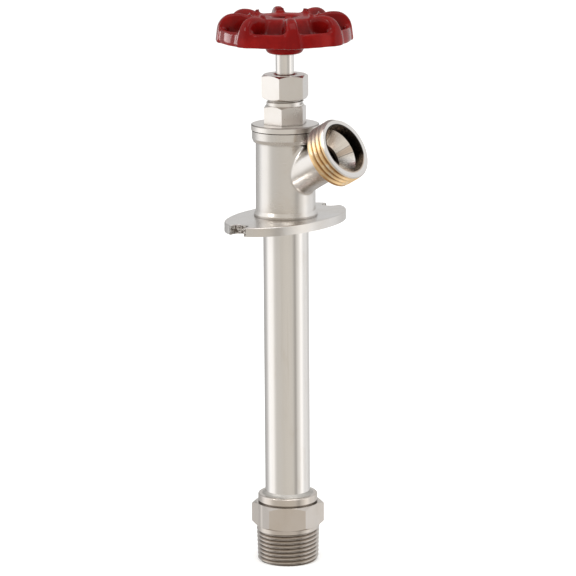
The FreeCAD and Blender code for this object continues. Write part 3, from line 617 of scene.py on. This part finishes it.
def softMaterial(name):
    # moulded or pressed material: grain, patches and no metal
    shade, patches, roughness, scale = softMaterials[name]
    finish = Finish(name)
    grain = finish.noise(finish.place(), scale, 5, 0.65)
    cloud = finish.noise(finish.place(), scale * moulding["patchScale"], 3)
    finish.set(BaseColor=finish.mix(finish.steps(cloud + grain * 0.4, 0.45, 0.95), shade, patches))
    finish.set(Roughness=grain * 0.2 + (roughness - 0.1))
    finish.set(Normal=finish.bump(grain, moulding["relief"], 0.5))
    return finish


enamel = {
    "red": (0.245, 0.006, 0.0045),
    "redDeep": (0.17, 0.003, 0.003),
    "redThin": (0.34, 0.012, 0.010),
    "redShade": (0.05, 0.0012, 0.0012),
    "reach": 8.0,           # how far from a corner the painted shade reaches, mm
    "shadeClear": 0.92,      # and how open a place may be that still has some
    "peelScale": 420,
    "swellScale": 130,
    "speckScale": 1900,
    "relief": 0.35,         # mm
    "dust": 0.25,           # what dust adds to the roughness of level tops
    "specular": 0.05,
    "roughness": 0.22,
    "coatRoughness": 0.05,
    "coatIor": 1.17,
}


def redEnamel():
    # thick gloss enamel on a rough casting, with painted shade darkening its hollows; thinner on the
    # crests, dusty on top
    finish = Finish("redEnamel")
    place = finish.place()
    peel = finish.noise(place, enamel["peelScale"], 2, 0.4)
    swell = finish.noise(place, enamel["swellScale"], 3)
    speck = finish.noise(place, enamel["speckScale"], 2)
    tone = finish.mix(finish.steps(swell, 0.35, 0.7), enamel["redDeep"], enamel["red"])
    tone = finish.mix(finish.steps(speck, 0.66, 0.78) * 0.5, tone, enamel["redThin"])
    # painted shade: the wheel's hollows and recesses darkened by the occlusion mask
    recessShade = finish.crevice(enamel["reach"], enamel["shadeClear"])
    tone = finish.mix(recessShade, tone, enamel["redShade"])
    upward = finish.coordinates(finish.node("TexCoord", {}, {}, "Normal"))[2]
    dusty = finish.steps(upward, 0.75, 0.97)
    finish.set(BaseColor=tone, Metallic=0.0, Specular=enamel["specular"])
    finish.set(Roughness=swell * 0.12 + dusty * enamel["dust"] + (enamel["roughness"] - 0.06))
    finish.set(CoatWeight=1 - dusty * 0.8, CoatRoughness=enamel["coatRoughness"])
    finish.set(CoatIor=enamel["coatIor"])
    finish.set(Normal=finish.bump(swell * 0.7 + peel * 0.3, enamel["relief"], 0.35))
    return finish


finishes = {
    "headCasting": headFinish(),
    "flangeNickel": flangeFinish(),
    "wrenchNickel": platedCasting("wrenchNickel"),
    "bonnetNickel": bonnetFinish(),
    "threadNickel": platedCasting("threadNickel"),
    "brightNickel": drawnTube("brightNickel"),
    "redEnamel": redEnamel(),
}
for finishName in bareMetals:
    finishes[finishName] = bareMetal(finishName)
for finishName in softMaterials:
    finishes[finishName] = softMaterial(finishName)
print("finishes made:", len(finishes))


wheelSkin = {
    "cell": 0.42,       # size of the first even mesh, mm
    "smoothings": 50,
    "tension": 0.6,
}


def softCopy(node, name, cell, smoothings, tension):
    # an even mesh over the node's own shape, relaxed so that its corners read as cast and painted
    source = nodes[node]
    mesh = source.data.copy()
    mesh.name = name
    piece = bpy.data.objects.new(name, mesh)
    bpy.context.scene.collection.objects.link(piece)
    remesh = piece.modifiers.new("evenMesh", "REMESH")
    remesh.mode = "VOXEL"
    remesh.voxel_size = cell * mm
    relax = piece.modifiers.new("relax", "SMOOTH")
    relax.factor = tension
    relax.iterations = smoothings
    graph = bpy.context.evaluated_depsgraph_get()
    made = bpy.data.meshes.new_from_object(piece.evaluated_get(graph))
    piece.modifiers.clear()
    piece.data = made
    made.name = name
    for face in made.polygons:
        face.use_smooth = True
    return piece


wheel = softCopy("handwheel", "handwheel_casting", **wheelSkin)
wheel.data.materials.clear()
wheel.data.materials.append(finishes["redEnamel"].material)
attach(wheel, "turning_stem")
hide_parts("handwheel")

# one more softbox, linked to the wheel alone and only mirrored in its enamel, for its edge highlights
enamelled = bpy.data.collections.new("enamelled")
enamelled.objects.link(wheel)
lamp = addSoftbox("wheelBox")
lamp.visible_diffuse = False
lamp.light_linking.receiver_collection = enamelled
print("handwheel made:", len(wheel.data.polygons), "faces")


finishOf = {
    "head_casting": "headCasting",
    "wall_flange": "flangeNickel",
    "bonnet": "bonnetNickel",
    "packing_nut": "wrenchNickel",
    "inlet_fitting": "threadNickel",
    "tube": "brightNickel",
    "operating_stem": "brightNickel",
    "inlet_solder_ring": "solderTin",
    "head_solder_ring": "solderTin",
    "bonnet_gasket": "gasketFibre",
    "packing_washer": "bareBrass",
    "packing_follower": "bareBrass",
    "stem_packing": "packingFibre",
    "extension_rod": "bareBrass",
    "rod_pin": "plainSteel",
    "rod_guide": "guidePlastic",
    "handle_washer": "plainSteel",
    "handle_screw": "plainSteel",
    "washer_holder": "bareBrass",
    "holder_clip": "plainSteel",
    "seat_washer": "seatRubber",
    "washer_screw": "bareBrass",
    "handwheel": "redEnamel",
}
for nodeName, finishName in finishOf.items():
    for materialSlot in nodes[nodeName].material_slots:
        materialSlot.link = "OBJECT"
        materialSlot.material = finishes[finishName].material
print("finishes assigned:", len(finishOf))
